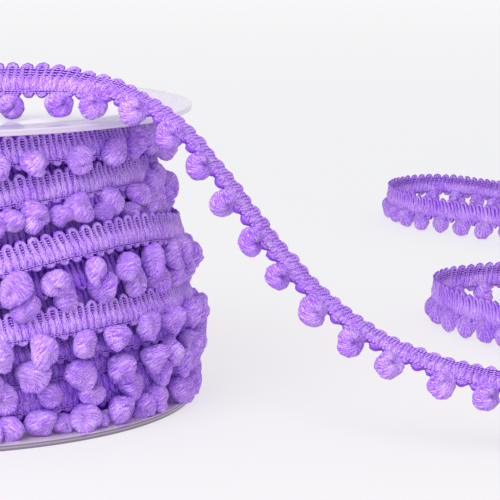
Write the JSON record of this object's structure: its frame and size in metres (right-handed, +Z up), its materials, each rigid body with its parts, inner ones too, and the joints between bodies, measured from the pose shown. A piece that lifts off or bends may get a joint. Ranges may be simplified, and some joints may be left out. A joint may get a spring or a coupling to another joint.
{
  "type": "pompom fringe trim on a clear reel",
  "caption": "mini pompom fringe trim wound on a clear plastic reel, its loose end unwound in an arch and two open bends, for edging cloth and crafts",
  "frame": {"origin": "middle of the base of everything built, on the surface that the reel and the loose end rest on", "axes": "+Z up along the reel's axis; the reel stands at the front left, -Y faces the viewer, and the loose end runs away to +X and +Y"},
  "size_m": [0.263, 0.387, 0.0843],
  "materials": {
    "reel_plastic": "clear moulded polystyrene, glossy, with a faint grey edge",
    "trim_yarn": "soft matt lilac textured filament yarn, knitted heading with looped pompoms"
  },
  "bodies": {
    "root": {"reel_lower_flange": "reel_plastic", "reel_upper_flange": "reel_plastic", "reel_barrel": "reel_plastic", "wound_trim": "trim_yarn", "loose_end": "trim_yarn"}
  },
  "joints": []
}
